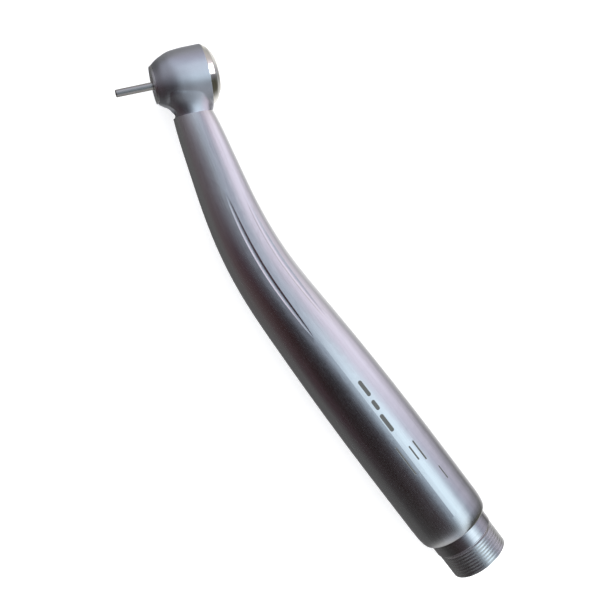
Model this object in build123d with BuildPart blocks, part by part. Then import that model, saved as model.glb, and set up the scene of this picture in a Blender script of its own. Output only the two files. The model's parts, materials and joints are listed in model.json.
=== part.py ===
from build123d import *
import math
import os

os.makedirs("parts", exist_ok=True)

# High speed dental handpiece with turbine head, lamp generator and hose coupling, lying on its
# side.  Millimetres.
# Origin: centre of the rear end face of the hose thread.  +X runs from the head to the hose along
# the coupling axis, +Y is the side of the push button (spine), +Z is up when it lies flat.
#
# In the head, x is the distance from the head axis toward the handle and t is the height above
# the spray face toward the push button.

# ---- head ---------------------------------------------------------------------------------------
HEAD_X, HEAD_Y = -124.12, 5.46      # centre of the spray face
HEAD_TILT = 66.07                   # head axis against +X, degrees (toward the push button)
HEAD_R = 6.44                       # head barrel radius
FACE_R = 4.17                       # spray face radius
FACE_FLAT = 3.6                     # flat on the neck side of the spray face
CAP_T = 11.1                        # height of the joint between casting and cap ring
CAP_SEAT_R = 5.0                    # bore that takes the cap ring
CAP_SEAT_T = 8.0                    # floor of that bore
CAVITY_R = 4.75                     # turbine cavity

NECK_LEN = 7.5                      # head axis to the neck seam
NECK_T = 6.65                       # height of the neck centre above the spray face
NECK_BLEND = 1.2                    # fillet between barrel and neck
SPIGOT_R = 3.10                     # spigot inside the handle
SPIGOT_LEN = 10.0                   # head axis to the spigot end
NECK_GROOVE_X = 8.35                # start of the neck seal groove
NECK_GROOVE_W = 0.4

# passages in the neck: height, and offset to either side
AIR_T, AIR_Z = NECK_T + 0.85, 1.45          # drive air (+Z) and exhaust (-Z)
SMALL_T, SMALL_Z = NECK_T - 1.1, 1.9        # water (+Z) and chip air (-Z)
LEAD_T = NECK_T - 1.95                      # lamp leads, on the centre
SMALL_PAIR = ((SMALL_T, SMALL_Z), (SMALL_T, -SMALL_Z))

# ---- turbine ------------------------------------------------------------------------------------
BEARING_R = 3.175                   # turbine bearing outer radius
BEARING_W = 2.38                    # turbine bearing width
BEARING_SEAT_R = 3.25
BALL_R = 0.5
BALL_COUNT = 7
BALL_PCR = 2.38                     # ball circle radius
BALL_GROOVE_R = BALL_R + 0.02
FRONT_BEARING_T = 2.69              # mid height of the front bearing
REAR_BEARING_T = 9.29               # mid height of the rear bearing
O_RING_LIFT = 0.06                  # o-ring above the middle of its bearing
O_RING_GROOVE_R = 3.9
O_RING_GROOVE_HALF = 0.4            # half the groove width
SPINDLE_R = 1.5875
SPINDLE_BORE_R = 1.2
BUR_R = 0.8
BUR_FREE = 7.82                     # bur length outside the spray face
BUR_IN = 8.9                        # bur length inside the head
BUTTON_R = 4.95
CHUCK_T = 0.62                      # front end of the collet

# ---- lamp ---------------------------------------------------------------------------------------
POCKET_TILT = math.radians(22.7)    # lamp pocket against the head axis
POCKET_R = 2.8                      # cutter radius
POCKET_FOOT = (4.9, 3.9)            # inner corner of the pocket floor (x, t)
LAMP_INSET = 1.36                   # pocket corner to lamp centre, along the floor
LAMP_SEAT_DEPTH = 1.05              # emitter seat below the pocket floor
LEAD_Z = 0.28                       # leads either side of the middle plane
LEAD_R = 0.2

# ---- handle and coupling ------------------------------------------------------------------------
SHELL_WALL = 1.0
SHOULDER_X = -14.5                  # start of the rounded rear shoulder
BODY_END_X = -9.5                   # rear end of the handle shell
RING_R = 6.95                       # end ring
RING_END_X = -6.0
THREAD_START_X = -5.63
THREAD_R = 6.75                     # thread crest
THREAD_ROOT_R = 6.36
THREAD_PITCH = 0.75
THREAD_TURNS = 8
THREAD_CREST = 0.16                 # crest width
THREAD_FLANK = 0.22                 # length of one flank along the axis
RECESS_R = 5.4                      # socket inside the thread
RECESS_X = -5.0
STUB_SEAT_X = -9.0                  # head end of the stub seats
TUBE_SEAT_X = -14.5                 # rear end of the tube seats
SLIP = 0.01                         # radial clearance of stub, tube, shaft and bush seats

DRIVE_R = 1.3                       # drive air stub, free end
DRIVE_TUBE_R = 1.1                  # drive air tubes and stub seat
DRIVE_BORE_R = 0.85
THIN_TUBE_R = 0.6                   # water and chip air tubes
THIN_BORE_R = 0.38
SMALL_STUB_R = 0.8                  # water and chip air stubs, free end
SMALL_SEAT_R = 0.62                 # their seats
SMALL_STUB_BORE_R = 0.4
EXHAUST_R = 1.5
DRIVE_OFF = 3.2                     # toward the spine
EXHAUST_OFF = -3.2
SMALL_OFF = 3.3                     # to either side

# ---- generator ----------------------------------------------------------------------------------
GEN_R = 5.6                         # housing
GEN_X0, GEN_X1 = -46.0, -24.0
GEN_WALL = 0.6
GEN_HOLE_R = DRIVE_TUBE_R + 0.02    # drive air hole in the housing
BOSS_R = 2.1                        # bearing bosses
BUSH_R = 1.5
SHAFT_R = 0.6
STATOR_X = -38.0                    # middle of stator and magnet
STATOR_LEN = 8.0
MAGNET_LEN = 8.6
POLES = 6

# handle centreline: x, y, slope in degrees, outside radius
STATIONS = [
    (-114.567, 8.497, -23.93, 4.22),
    (-111.0, 7.46, -16.6, 4.64),
    (-107.0, 6.31, -16.02, 4.94),
    (-102.5, 5.02, -16.02, 5.23),
    (-98.0, 3.75, -15.27, 5.52),
    (-93.5, 2.59, -13.43, 5.80),
    (-89.0, 1.62, -10.82, 6.08),
    (-84.5, 0.88, -7.81, 6.35),
    (-80.0, 0.38, -4.81, 6.61),
    (-75.0, 0.09, -1.99, 6.90),
    (-70.0, 0.0, 0.0, 7.17),
    (-64.0, 0.0, 0.0, 7.47),
    (-57.0, 0.0, 0.0, 7.77),
    (-50.0, 0.0, 0.0, 8.01),
    (-42.0, 0.0, 0.0, 8.21),
    (-34.0, 0.0, 0.0, 8.32),
    (-26.0, 0.0, 0.0, 8.37),
    (-19.0, 0.0, 0.0, 8.38),
    (SHOULDER_X, 0.0, 0.0, 8.38),
]
SHOULDER_R = STATIONS[-1][3]

# finger grooves: start x, end x, degrees from the side toward the spine, cutter radius
FINGER_GROOVES = [
    (-100.2, -61.5, -4.7, 0.65),
    (-98.5, -62.0, 34.0, 1.3),
]
GROOVE_DEPTH = 0.28

# neck of the head: distance from the head axis, lowest and highest point, half width, squareness
# toward the push button and toward the bur
NECK_SECTIONS = [
    (0.0, 0.65, 10.95, 5.30, 5.0, 2.4),
    (2.0, 0.65, 10.97, 5.60, 5.0, 2.4),
    (3.2, 0.95, 10.98, 5.50, 4.6, 2.4),
    (4.2, 1.45, 10.98, 5.10, 3.8, 2.3),
    (5.2, 1.95, 10.96, 4.68, 3.0, 2.2),
    (6.3, 2.40, 10.92, 4.36, 2.4, 2.1),
    (NECK_LEN, 2.76, 10.86, 4.18, 2.05, 2.05),
]
NECK_POINTS = 28                    # points round each neck outline

# ---- reference planes and axes ------------------------------------------------------------------
COS_TILT = math.cos(math.radians(HEAD_TILT))
SIN_TILT = math.sin(math.radians(HEAD_TILT))
TO_BUTTON = (COS_TILT, SIN_TILT, 0)
TO_HANDLE = (SIN_TILT, -COS_TILT, 0)
HEAD_ORIGIN = (HEAD_X, HEAD_Y, 0)
HEAD_AXIS = Axis(HEAD_ORIGIN, TO_BUTTON)
# section through the head: local x toward the handle, local y toward the push button
HEAD_SECTION = Plane(origin=HEAD_ORIGIN, x_dir=TO_HANDLE, z_dir=(0, 0, 1))
# face plane of the head: local x toward the handle, local z toward the push button
HEAD = Plane(origin=HEAD_ORIGIN, x_dir=TO_HANDLE, z_dir=TO_BUTTON)
BODY_AXIS = Axis((0, 0, 0), (1, 0, 0))


def head_at(t):
    return HEAD.offset(t)


def head_point(x, t, z=0.0):
    return (HEAD_X + x * SIN_TILT + t * COS_TILT, HEAD_Y - x * COS_TILT + t * SIN_TILT, z)


def neck_plane(x):
    """Across the neck at x: local x toward the push button, local y up."""
    return Plane(origin=head_point(x, 0), x_dir=TO_BUTTON, z_dir=TO_HANDLE)


def tail_plane(x):
    """Across the body: local x toward the spine, local y up."""
    return Plane(origin=(x, 0, 0), x_dir=(0, 1, 0), z_dir=(1, 0, 0))


def station_plane(x, y, slope):
    """Across the handle centreline."""
    angle = math.radians(slope)
    return Plane(origin=(x, y, 0), x_dir=(0, 0, 1), z_dir=(math.cos(angle), math.sin(angle), 0))


def start_plane(line):
    """Across the start of a path."""
    return Plane(origin=line @ 0, z_dir=line % 0)


# lamp pocket: unit vector into its floor, square to the floor
INTO_POCKET = (SIN_TILT * math.sin(POCKET_TILT) + COS_TILT * math.cos(POCKET_TILT),
               -COS_TILT * math.sin(POCKET_TILT) + SIN_TILT * math.cos(POCKET_TILT), 0)


def pocket_plane(inset, depth=0.0):
    """Parallel to the pocket floor, inset along it from its inner corner and depth below it.

    The normal points out of the pocket, toward the bur tip.
    """
    sin_p, cos_p = math.sin(POCKET_TILT), math.cos(POCKET_TILT)
    x = POCKET_FOOT[0] + inset * cos_p + depth * sin_p
    t = POCKET_FOOT[1] - inset * sin_p + depth * cos_p
    outward = (-INTO_POCKET[0], -INTO_POCKET[1], 0)
    return Plane(origin=head_point(x, t), x_dir=(0, 0, 1), z_dir=outward)


def station_at(x):
    """Centreline y, slope and outside radius at x, read between the stations."""
    for before, after in zip(STATIONS, STATIONS[1:]):
        if before[0] <= x <= after[0]:
            share = (x - before[0]) / (after[0] - before[0])
            return [p + share * (q - p) for p, q in zip(before[1:], after[1:])]


def along(x, offset, z):
    """Point beside the handle centreline, offset toward the spine."""
    y, slope, _ = station_at(x)
    angle = math.radians(slope)
    return (x - offset * math.sin(angle), y + offset * math.cos(angle), z)


def spun(degrees, points):
    """The points turned about the origin."""
    c, s = math.cos(math.radians(degrees)), math.sin(math.radians(degrees))
    return [(x * c - y * s, x * s + y * c) for x, y in points]


def neck_outline(low, high, half_width, upper, lower):
    """Closed outline across the neck, starting at its highest point."""
    middle, half_height = (low + high) / 2, (high - low) / 2
    points = []
    for i in range(NECK_POINTS):
        angle = 2 * math.pi * i / NECK_POINTS
        c, s = math.cos(angle), math.sin(angle)
        power = upper if c > 0 else lower
        points.append((middle + half_height * math.copysign(abs(c) ** (2 / power), c),
                       half_width * math.copysign(abs(s) ** (2 / power), s)))
    return points


def blend_edges(block):
    """Edges where the neck leaves the barrel: clear of the axis, front face, cap and seam."""
    found = []
    for edge in block.edges():
        middle = Vector(*(edge @ 0.5)) - Vector(*HEAD_ORIGIN)
        x = middle.X * SIN_TILT - middle.Y * COS_TILT
        t = middle.X * COS_TILT + middle.Y * SIN_TILT
        if 1.0 < x < 6.9 and 0.5 < t < CAP_T + 1.0:
            found.append(edge)
    return found


# ---- builders for pieces that repeat; each one is a whole BuildPart -----------------------------
def save(piece, name):
    piece.part.label = name
    export_step(piece.part, f"parts/{name}.step")


def turned_piece(name, profile):
    """Closed (x, t) profile turned about the head axis."""
    with BuildPart() as piece:
        with BuildSketch(HEAD_SECTION):
            with BuildLine():
                Polyline(*profile, close=True)
            make_face()
        revolve(axis=HEAD_AXIS)
    save(piece, name)


def bearing_race(name, profile, mid):
    """Closed (x, t) profile turned about the head axis, with a groove for the balls."""
    with BuildPart() as race:
        with BuildSketch(HEAD_SECTION):
            with BuildLine():
                Polyline(*profile, close=True)
            make_face()
            with Locations((BALL_PCR, mid)):
                Circle(BALL_GROOVE_R, mode=Mode.SUBTRACT)
        revolve(axis=HEAD_AXIS)
    save(race, name)


def coil_spring(name, t, pitch, height, radius, wire_r, cone_angle=0):
    """Spring round the head axis, standing on height t."""
    with BuildPart() as spring:
        with BuildLine():
            coil = Helix(pitch=pitch, height=height, radius=radius, center=head_point(0, t),
                         direction=TO_BUTTON, cone_angle=cone_angle)
        with BuildSketch(start_plane(coil)):
            Circle(wire_r)
        sweep(is_frenet=True)
    save(spring, name)


def bent_tube(name, points, bend_r, outer_r, bore_r):
    with BuildPart() as tube:
        with BuildLine() as path:
            FilletPolyline(*points, radius=bend_r)
        with BuildSketch(start_plane(path.line)):
            Circle(outer_r)
        sweep(path=path.line)
        with BuildSketch(start_plane(path.line)):
            Circle(bore_r)
        sweep(path=path.line, mode=Mode.SUBTRACT)
    save(tube, name)


def bladed_wheel(name, plane, hub_r, hub_len, bore_r, count, blade, blade_inset):
    """Hub with curved blades, blade_inset short of the hub at each end.

    The six blade points are three on the outer arc of one side and three back along the other.
    """
    with BuildPart() as wheel:
        with BuildSketch(plane):
            Circle(hub_r)
        extrude(amount=hub_len)
        with BuildSketch(plane.offset(blade_inset)):
            for i in range(count):
                points = spun(360 * i / count, blade)
                with BuildLine():
                    ThreePointArc(*points[:3])
                    Line(points[2], points[3])
                    ThreePointArc(*points[3:])
                    Line(points[5], points[0])
                make_face()
        extrude(amount=hub_len - 2 * blade_inset)
        with BuildSketch(plane):
            Circle(bore_r)
        extrude(amount=hub_len, mode=Mode.SUBTRACT)
    save(wheel, name)


# =================================================================================================
# HEAD
# =================================================================================================
front_o_ring_t = FRONT_BEARING_T + O_RING_LIFT
rear_o_ring_t = REAR_BEARING_T + O_RING_LIFT

with BuildPart() as head_housing:
    # barrel
    with BuildSketch(HEAD_SECTION):
        with BuildLine():
            Polyline((0, 0.45), (4.2, 0.45))
            Spline((4.2, 0.45), (4.82, 1.31), (5.58, 2.78), (6.1, 4.2), (6.34, 5.9), (HEAD_R, 8.3),
                   tangents=((0.5, 0.86), (0, 1)))
            Polyline((HEAD_R, 8.3), (HEAD_R, CAP_T + 2), (0, CAP_T + 2), (0, 0.45))
        make_face()
    revolve(axis=HEAD_AXIS)
    # neck, flared where it leaves the barrel
    for distance, *section in NECK_SECTIONS:
        with BuildSketch(neck_plane(distance)):
            with BuildLine():
                Spline(*neck_outline(*section), periodic=True)
            make_face()
    loft()
    # soften the corner between barrel and neck
    fillet(blend_edges(head_housing), NECK_BLEND)
    # top faced off level with the joint under the cap ring
    with BuildSketch(head_at(CAP_T)):
        Circle(14)
    extrude(amount=4, mode=Mode.SUBTRACT)
    # spigot that carries the handle
    with BuildSketch(neck_plane(NECK_LEN - 0.5)):
        with Locations((NECK_T, 0)):
            Circle(SPIGOT_R)
    extrude(amount=SPIGOT_LEN - NECK_LEN + 0.5)
    # groove for the neck seal
    with BuildSketch(neck_plane(NECK_GROOVE_X)):
        with Locations((NECK_T, 0)):
            Circle(SPIGOT_R + 0.2)
            Circle(SPIGOT_R - 0.24, mode=Mode.SUBTRACT)
    extrude(amount=NECK_GROOVE_W, mode=Mode.SUBTRACT)
    # front bore, bearing seat with o-ring groove, turbine cavity, cap ring bore
    with BuildSketch(HEAD_SECTION):
        with BuildLine():
            Polyline((0, 0.0), (3.42, 0.0), (3.42, 1.25), (2.9, 1.25), (2.9, 1.45),
                     (BEARING_SEAT_R, 1.45),
                     (BEARING_SEAT_R, front_o_ring_t - O_RING_GROOVE_HALF),
                     (O_RING_GROOVE_R, front_o_ring_t - O_RING_GROOVE_HALF),
                     (O_RING_GROOVE_R, front_o_ring_t + O_RING_GROOVE_HALF),
                     (BEARING_SEAT_R, front_o_ring_t + O_RING_GROOVE_HALF),
                     (BEARING_SEAT_R, 4.3), (CAVITY_R, 4.3), (CAVITY_R, CAP_SEAT_T),
                     (CAP_SEAT_R, CAP_SEAT_T), (CAP_SEAT_R, CAP_T + 1), (0, CAP_T + 1),
                     close=True)
        make_face()
    revolve(axis=HEAD_AXIS, mode=Mode.SUBTRACT)
    # drive air and exhaust passages
    with BuildSketch(neck_plane(3.9)):
        with Locations((AIR_T, AIR_Z)):
            Circle(DRIVE_BORE_R)
        with Locations((AIR_T, -AIR_Z)):
            Circle(1.05)
    extrude(amount=8, mode=Mode.SUBTRACT)
    # seats for the drive air, water and chip air tubes
    with BuildSketch(neck_plane(8.5)):
        with Locations((AIR_T, AIR_Z)):
            Circle(DRIVE_TUBE_R + 0.02)
        with Locations(*SMALL_PAIR):
            Circle(THIN_TUBE_R + 0.02)
    extrude(amount=3, mode=Mode.SUBTRACT)
    # water and chip air passages
    with BuildSketch(neck_plane(6.9)):
        with Locations(*SMALL_PAIR):
            Circle(0.4)
    extrude(amount=3, mode=Mode.SUBTRACT)
    # lamp lead passage
    with BuildSketch(neck_plane(6.4)):
        with Locations((LEAD_T, 0)):
            Circle(0.6)
    extrude(amount=6, mode=Mode.SUBTRACT)
    # lamp pocket and lamp bore
    with BuildSketch(pocket_plane(POCKET_R)):
        Circle(POCKET_R)
    extrude(amount=8, mode=Mode.SUBTRACT)
    with BuildSketch(pocket_plane(LAMP_INSET)):
        Circle(1.12)
    extrude(amount=-1.7, mode=Mode.SUBTRACT)
save(head_housing, "head_housing")

with BuildPart() as spray_face_plate:
    with BuildSketch(HEAD_SECTION):
        with BuildLine():
            Polyline((2.0, 0.12), (2.12, 0.0), (FACE_R - 0.24, 0.0), (FACE_R, 0.42), (3.4, 0.42),
                     (3.4, 1.2), (3.2, 1.2), (3.2, 0.72), (2.85, 0.72), (2.85, 1.2), (2.0, 1.2),
                     close=True)
        make_face()
    revolve(axis=HEAD_AXIS)
    # three spray holes into the ring gallery
    with BuildSketch(HEAD):
        with PolarLocations(3.02, 3, start_angle=60):
            Circle(0.2)
    extrude(amount=0.9, mode=Mode.SUBTRACT)
    # flat on the neck side
    with BuildSketch(HEAD):
        with Locations((FACE_FLAT + 1, 0)):
            Rectangle(2, 9)
    extrude(amount=1.5, mode=Mode.SUBTRACT)
    # lamp pocket
    with BuildSketch(pocket_plane(POCKET_R)):
        Circle(POCKET_R)
    extrude(amount=8, mode=Mode.SUBTRACT)
save(spray_face_plate, "spray_face_plate")

with BuildPart() as cap_ring:
    with BuildSketch(HEAD_SECTION):
        with BuildLine():
            joint_t = CAP_T + 0.02
            Polyline((6.36, joint_t), (6.36, CAP_T + 0.06))
            Spline((6.36, CAP_T + 0.06), (6.2, 11.42), (5.82, 12.0), (5.45, 12.42), (4.9, 12.78),
                   tangents=((-0.15, 1), (-1, 0.55)))
            Polyline((4.9, 12.78), (4.74, 12.76), (4.74, 12.45), (5.0, 12.45), (5.0, 11.4),
                     (1.0, 11.4), (1.0, 10.75), (BEARING_SEAT_R, 10.75),
                     (BEARING_SEAT_R, rear_o_ring_t + O_RING_GROOVE_HALF),
                     (O_RING_GROOVE_R, rear_o_ring_t + O_RING_GROOVE_HALF),
                     (O_RING_GROOVE_R, rear_o_ring_t - O_RING_GROOVE_HALF),
                     (BEARING_SEAT_R, rear_o_ring_t - O_RING_GROOVE_HALF),
                     (BEARING_SEAT_R, CAP_SEAT_T + 0.05),
                     (CAP_SEAT_R - 0.03, CAP_SEAT_T + 0.05),
                     (CAP_SEAT_R - 0.03, joint_t), (6.36, joint_t))
        make_face()
    revolve(axis=HEAD_AXIS)
save(cap_ring, "cap_ring")

with BuildPart() as push_button:
    with BuildSketch(HEAD_SECTION):
        with BuildLine():
            Polyline((0, 13.9), (0, 10.3), (0.8, 10.3), (0.95, 10.45), (0.95, 12.75), (4.2, 12.75),
                     (4.35, 12.6), (4.35, 12.1), (BUTTON_R, 12.1), (BUTTON_R, 12.4), (4.7, 12.4),
                     (4.7, 12.86))
            Spline((4.7, 12.86), (4.2, 13.19), (2.44, 13.66), (0, 13.9),
                   tangents=((-1, 0.55), (-1, 0)))
        make_face()
    revolve(axis=HEAD_AXIS)
save(push_button, "push_button")

coil_spring("button_spring", t=11.56, pitch=0.36, height=1.02, radius=3.6, wire_r=0.14,
            cone_angle=-45)

# ---- turbine rotor ------------------------------------------------------------------------------
turned_piece("turbine_spindle", [
    (0.95, 0.2), (1.35, 0.2), (1.5, 0.35), (1.5, 1.4), (SPINDLE_R, 1.45), (SPINDLE_R, 3.95),
    (1.95, 3.95), (1.95, 4.55), (SPINDLE_R, 4.55), (SPINDLE_R, 10.3), (1.45, 10.45),
    (SPINDLE_BORE_R, 10.45), (SPINDLE_BORE_R, 0.6), (0.95, 0.6)])

bladed_wheel("impeller", head_at(4.6), hub_r=2.5, hub_len=3.0, bore_r=SPINDLE_R + 0.0125, count=8,
             blade=[(2.3, -0.3), (3.4, 0.05), (4.3, 0.93), (4.15, 1.28), (3.3, 0.55), (2.2, 0.45)],
             blade_inset=0.15)

for tag, mid in (("front", FRONT_BEARING_T), ("rear", REAR_BEARING_T)):
    low, high = mid - BEARING_W / 2, mid + BEARING_W / 2
    bearing_race(tag + "_outer_race", [
        (2.74, low + 0.1), (2.84, low), (BEARING_R - 0.12, low), (BEARING_R, low + 0.12),
        (BEARING_R, high - 0.12), (BEARING_R - 0.12, high), (2.84, high), (2.74, high - 0.1)], mid)
    bearing_race(tag + "_inner_race", [
        (1.6, low + 0.1), (1.7, low), (1.94, low), (2.0, low + 0.06), (2.0, high - 0.06),
        (1.94, high), (1.7, high), (1.6, high - 0.1)], mid)

    with BuildPart() as balls:
        with Locations(head_at(mid)):
            with PolarLocations(BALL_PCR, BALL_COUNT):
                Sphere(BALL_R)
    save(balls, tag + "_balls")

    with BuildPart() as cage:
        with BuildSketch(head_at(mid - 0.85)):
            Circle(2.68)
            Circle(2.06, mode=Mode.SUBTRACT)
        extrude(amount=1.7)
        # round ball windows, drilled outward
        with Locations(head_at(mid)):
            with PolarLocations(BALL_PCR, BALL_COUNT):
                Cylinder(BALL_R + 0.04, 1.2, rotation=(0, 90, 0), mode=Mode.SUBTRACT)
    save(cage, tag + "_cage")

    with BuildPart() as o_ring:
        with BuildSketch(HEAD_SECTION):
            with Locations((3.54, mid + O_RING_LIFT)):
                Circle(0.345)
        revolve(axis=HEAD_AXIS)
    save(o_ring, tag + "_o_ring")

turned_piece("preload_washer", [(2.75, 10.63), (3.15, 10.5), (3.15, 10.57), (2.75, 10.70)])

with BuildPart() as chuck_collet:
    with BuildSketch(head_at(CHUCK_T)):
        Circle(1.15)
        Circle(BUR_R + 0.015, mode=Mode.SUBTRACT)
    extrude(amount=4.78)
    # slits between the jaws
    with Locations(head_at(CHUCK_T)):
        with PolarLocations(0.9, 3):
            Box(1.0, 0.16, 3.9, align=(Align.CENTER, Align.CENTER, Align.MIN), mode=Mode.SUBTRACT)
save(chuck_collet, "chuck_collet")

coil_spring("chuck_spring", t=5.56, pitch=0.42, height=1.62, radius=1.0, wire_r=0.11)

# cup over the inner end of the bur
turned_piece("chuck_pusher", [(0, 10.15), (0, 9.75), (0.87, 9.75), (0.87, 7.4), (1.15, 7.4),
                              (1.15, 10.0), (1.0, 10.15)])

with BuildPart() as test_bur:
    with BuildSketch(head_at(-BUR_FREE)):
        Circle(BUR_R)
    extrude(amount=BUR_FREE + BUR_IN)
    rims = test_bur.edges().filter_by(GeomType.CIRCLE).sort_by(HEAD_AXIS)
    fillet(rims[0], 0.28)
    chamfer(rims[-1], 0.1)
save(test_bur, "test_bur")

# ---- lamp ---------------------------------------------------------------------------------------
with BuildPart() as lamp_holder:
    with BuildSketch(pocket_plane(LAMP_INSET, 1.6)):
        Circle(1.1)
    extrude(amount=1.5)
    with BuildSketch(pocket_plane(LAMP_INSET, LAMP_SEAT_DEPTH)):
        Circle(0.9)
    extrude(amount=1.2, mode=Mode.SUBTRACT)
save(lamp_holder, "lamp_holder")

with BuildPart() as lamp_emitter:
    with BuildSketch(pocket_plane(LAMP_INSET, LAMP_SEAT_DEPTH)):
        Rectangle(1.16, 1.16)
    extrude(amount=0.3)
save(lamp_emitter, "lamp_emitter")

with BuildPart() as lamp_lens:
    with BuildSketch(pocket_plane(LAMP_INSET, 0.7)):
        Circle(0.88)
    extrude(amount=0.7)
    # round the rim of the outer face
    fillet(lamp_lens.faces().sort_by(Axis(HEAD_ORIGIN, INTO_POCKET))[0].edges(), 0.3)
save(lamp_lens, "lamp_lens")

with BuildPart() as lamp_leads:
    for z in (-LEAD_Z, LEAD_Z):
        with BuildLine() as lead:
            Spline(head_point(7.95, LEAD_T, z), head_point(10.6, LEAD_T, z),
                   along(-108, -2.0, z), along(-98, -2.1, z), along(-88, -2.4, z),
                   along(-76, -2.6, z), along(-64, -2.4, z), along(-54, -2.2, z),
                   (-47.3, -2.2, z), tangents=(TO_HANDLE, (1, 0, 0)))
        with BuildSketch(start_plane(lead.line)):
            Circle(LEAD_R)
        sweep(path=lead.line)
save(lamp_leads, "lamp_leads")

# =================================================================================================
# HANDLE
# =================================================================================================
with BuildPart() as handle_shell:
    for x, y, slope, radius in STATIONS:
        with BuildSketch(station_plane(x, y, slope)):
            Circle(radius)
    loft()
    # rounded rear shoulder
    with BuildSketch(Plane.XY):
        with BuildLine():
            Polyline((BODY_END_X, 0), (SHOULDER_X, 0), (SHOULDER_X, SHOULDER_R))
            Bezier((SHOULDER_X, SHOULDER_R), (-11.4, SHOULDER_R), (BODY_END_X + 0.1, 8.2),
                   (BODY_END_X, 7.45))
            Line((BODY_END_X, 7.45), (BODY_END_X, 0))
        make_face()
    revolve(axis=BODY_AXIS)
    # bore
    for x, y, slope, radius in STATIONS:
        with BuildSketch(station_plane(x, y, slope)):
            Circle(radius - SHELL_WALL)
    loft(mode=Mode.SUBTRACT)
    # seat for the end ring
    with BuildSketch(tail_plane(-16)):
        Circle(RING_R + 0.03)
    extrude(amount=8, mode=Mode.SUBTRACT)
    # four finger grooves with pointed ends, two on each side; the cutter follows a shallow arc
    # that starts and ends just clear of full contact
    for start_x, end_x, degrees, cutter_r in FINGER_GROOVES:
        angle = math.radians(degrees)
        for side in (1, -1):
            points = []
            for i in range(9):
                share = i / 8
                x = start_x + (end_x - start_x) * share
                depth = GROOVE_DEPTH * (1 - (2 * share - 1) ** 2) * 1.25 - 0.25 * GROOVE_DEPTH
                reach = station_at(x)[2] + cutter_r - depth
                points.append(along(x, reach * math.sin(angle), side * reach * math.cos(angle)))
            with BuildLine() as groove:
                Spline(*points)
            with BuildSketch(start_plane(groove.line)):
                Circle(cutter_r)
            sweep(path=groove.line, mode=Mode.SUBTRACT)
save(handle_shell, "handle_shell")

with BuildPart() as neck_seal:
    with Locations(Plane(origin=head_point(NECK_GROOVE_X + NECK_GROOVE_W / 2, NECK_T),
                         z_dir=TO_HANDLE)):
        Torus(SPIGOT_R - 0.07, 0.15)
save(neck_seal, "neck_seal")

# ---- tubes from the generator and coupling to the head ------------------------------------------
bent_tube("drive_air_tube",
          [head_point(8.6, AIR_T, AIR_Z), head_point(13.0, AIR_T, AIR_Z), along(-92, 0.6, 1.2),
           (-72, 1.6, 0.6), (-52, DRIVE_OFF, 0), (GEN_X0 + 0.7, DRIVE_OFF, 0)],
          bend_r=8, outer_r=DRIVE_TUBE_R, bore_r=DRIVE_BORE_R)

for tag, side in (("water", 1), ("chip_air", -1)):
    # passes beside the generator housing
    bent_tube(tag + "_tube",
              [head_point(8.6, SMALL_T, SMALL_Z * side), head_point(13.0, SMALL_T, SMALL_Z * side),
               along(-92, -1.2, 3.0 * side), (-70, -0.5, 4.8 * side), (-50, 0, 6.3 * side),
               (GEN_X1, 0, 6.3 * side), (-17, 0, SMALL_OFF * side),
               (TUBE_SEAT_X - 0.1, 0, SMALL_OFF * side)],
              bend_r=6, outer_r=THIN_TUBE_R, bore_r=THIN_BORE_R)

# =================================================================================================
# REAR END
# =================================================================================================
with BuildPart() as end_ring:
    with BuildSketch(Plane.XY):
        with BuildLine():
            Polyline((-15.5, 6.0), (-15.5, 6.85), (-15.4, RING_R), (-13.5, RING_R), (-13.5, 6.5),
                     (-12.7, 6.5), (-12.7, RING_R), (RING_END_X - 0.2, RING_R),
                     (RING_END_X, RING_R - 0.2), (RING_END_X, 6.0), close=True)
        make_face()
    revolve(axis=BODY_AXIS)
save(end_ring, "end_ring")

with BuildPart() as shell_seal:
    with Locations(tail_plane(-13.1)):
        Torus(6.74, 0.225)
save(shell_seal, "shell_seal")

with BuildPart() as coupling_body:
    with BuildSketch(Plane.XY):
        with BuildLine():
            profile = [(-16.5, 0), (-16.5, 5.8), (-16.3, 5.98), (RING_END_X + 0.02, 5.98),
                       (RING_END_X + 0.02, 6.3), (THREAD_START_X, 6.3)]
            # the thread is a row of plain ridges
            for i in range(THREAD_TURNS):
                crest_end = -THREAD_PITCH * (THREAD_TURNS - 1 - i)
                profile += [(crest_end - THREAD_CREST - THREAD_FLANK, THREAD_ROOT_R),
                            (crest_end - THREAD_CREST, THREAD_R), (crest_end, THREAD_R)]
                if i < THREAD_TURNS - 1:
                    profile += [(crest_end + THREAD_FLANK, THREAD_ROOT_R)]
            profile += [(0, RECESS_R + 0.15), (-0.15, RECESS_R), (RECESS_X, RECESS_R),
                        (RECESS_X, 0)]
            Polyline(*profile, close=True)
        make_face()
    revolve(axis=BODY_AXIS)
    # drive air, exhaust, water and chip air ways
    with BuildSketch(tail_plane(-17)):
        with Locations((DRIVE_OFF, 0)):
            Circle(DRIVE_BORE_R)
        with Locations((EXHAUST_OFF, 0)):
            Circle(EXHAUST_R)
        with Locations((0, SMALL_OFF), (0, -SMALL_OFF)):
            Circle(THIN_BORE_R)
    extrude(amount=13, mode=Mode.SUBTRACT)
    # stub seats
    with BuildSketch(tail_plane(STUB_SEAT_X)):
        with Locations((DRIVE_OFF, 0)):
            Circle(DRIVE_TUBE_R + SLIP)
        with Locations((0, SMALL_OFF), (0, -SMALL_OFF)):
            Circle(SMALL_SEAT_R + SLIP)
    extrude(amount=5, mode=Mode.SUBTRACT)
    # tube seats on the side toward the head
    with BuildSketch(tail_plane(TUBE_SEAT_X)):
        with Locations((DRIVE_OFF, 0)):
            Circle(DRIVE_TUBE_R + SLIP)
        with Locations((0, SMALL_OFF), (0, -SMALL_OFF)):
            Circle(0.68)
    extrude(amount=-3, mode=Mode.SUBTRACT)
save(coupling_body, "coupling_body")

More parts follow.
